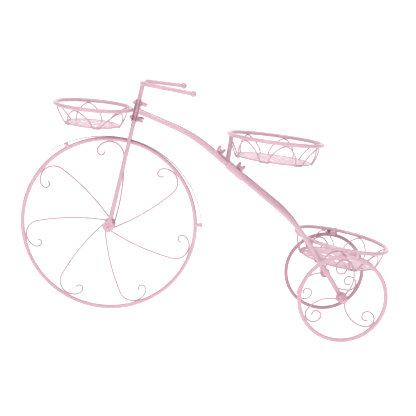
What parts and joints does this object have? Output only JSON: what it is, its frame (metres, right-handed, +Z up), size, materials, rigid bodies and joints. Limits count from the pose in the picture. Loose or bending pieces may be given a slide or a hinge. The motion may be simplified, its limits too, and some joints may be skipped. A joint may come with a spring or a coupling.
{
  "type": "bicycle plant stand",
  "caption": "Decorative bicycle-shaped plant stand of bent steel bar, with scrolled wheels, a fender and round wire baskets that hold plant pots.",
  "frame": {"origin": "on the ground, under the middle of the stand's overall box", "axes": "+X from the front wheel towards the rear wheels, +Y towards the far side in the picture, +Z up"},
  "size_m": [0.8604, 0.252, 0.5426],
  "materials": {
    "bar_paint": "satin",
    "wire_paint": "satin",
    "sheet_paint": "satin",
    "fastener_paint": "satin"
  },
  "bodies": {
    "stand": {"fender": "sheet_paint", "fender_spacers": "fastener_paint", "fork_bolt": "fastener_paint", "fork_leg_far": "bar_paint", "fork_leg_near": "bar_paint", "fork_nut": "fastener_paint", "front_axle_bolt": "fastener_paint", "front_axle_nut": "fastener_paint", "front_basket_base_ring": "wire_paint", "front_basket_floor": "sheet_paint", "front_basket_hoops": "wire_paint", "front_basket_rim": "bar_paint", "front_cross_strap": "bar_paint", "front_frame_tube_far": "bar_paint", "front_frame_tube_near": "bar_paint", "front_hub": "bar_paint", "front_spokes": "wire_paint", "front_wheel_rim": "bar_paint", "grip_ball_far": "bar_paint", "grip_ball_near": "bar_paint", "handlebar": "bar_paint", "head_bolts": "fastener_paint", "head_plate": "bar_paint", "head_strap": "bar_paint", "middle_basket_base_ring": "wire_paint", "middle_basket_floor": "sheet_paint", "middle_basket_hoops": "wire_paint", "middle_basket_rim": "bar_paint", "middle_bolts": "fastener_paint", "middle_plate": "bar_paint", "middle_post": "bar_paint", "rear_axle_bolts": "fastener_paint", "rear_axle_nuts": "fastener_paint", "rear_basket_base_ring": "wire_paint", "rear_basket_floor": "sheet_paint", "rear_basket_hoops": "wire_paint", "rear_basket_rim": "bar_paint", "rear_cross_strap": "bar_paint", "rear_frame_tube_far": "bar_paint", "rear_frame_tube_near": "bar_paint", "rear_hub_far": "bar_paint", "rear_hub_near": "bar_paint", "rear_spokes_far": "wire_paint", "rear_spokes_near": "wire_paint", "rear_wheel_rim_far": "bar_paint", "rear_wheel_rim_near": "bar_paint", "side_bolts": "fastener_paint", "side_plates": "bar_paint", "side_washers": "fastener_paint", "stem_tube": "bar_paint"},
    "head_wing_nut_upper": {"head_wing_nut_upper": "fastener_paint"},
    "head_wing_nut_lower": {"head_wing_nut_lower": "fastener_paint"},
    "middle_wing_nut_front": {"middle_wing_nut_front": "fastener_paint"},
    "middle_wing_nut_rear": {"middle_wing_nut_rear": "fastener_paint"},
    "side_wing_nut_near": {"side_wing_nut_near": "fastener_paint"},
    "side_wing_nut_far": {"side_wing_nut_far": "fastener_paint"}
  },
  "joints": [
    {"name": "head_upper_nut_turn", "type": "hinge", "parent": "stand", "child": "head_wing_nut_upper", "pos_m": [-0.16928, 0, 0.48802], "axis": [0.9853, 0, -0.1711], "continuous": true},
    {"name": "head_lower_nut_turn", "type": "hinge", "parent": "stand", "child": "head_wing_nut_lower", "pos_m": [-0.17518, 0, 0.45403], "axis": [0.9853, 0, -0.1711], "continuous": true},
    {"name": "middle_front_nut_turn", "type": "hinge", "parent": "stand", "child": "middle_wing_nut_front", "pos_m": [0.01471, 0, 0.39467], "axis": [0.5765, 0, 0.8171], "continuous": true},
    {"name": "middle_rear_nut_turn", "type": "hinge", "parent": "stand", "child": "middle_wing_nut_rear", "pos_m": [0.06341, 0, 0.36032], "axis": [0.5765, 0, 0.8171], "continuous": true},
    {"name": "side_near_nut_turn", "type": "hinge", "parent": "stand", "child": "side_wing_nut_near", "pos_m": [0.32128, -0.1141, 0.2053], "axis": [0, -1, 0], "continuous": true},
    {"name": "side_far_nut_turn", "type": "hinge", "parent": "stand", "child": "side_wing_nut_far", "pos_m": [0.32128, 0.1141, 0.2053], "axis": [0, 1, 0], "continuous": true}
  ]
}
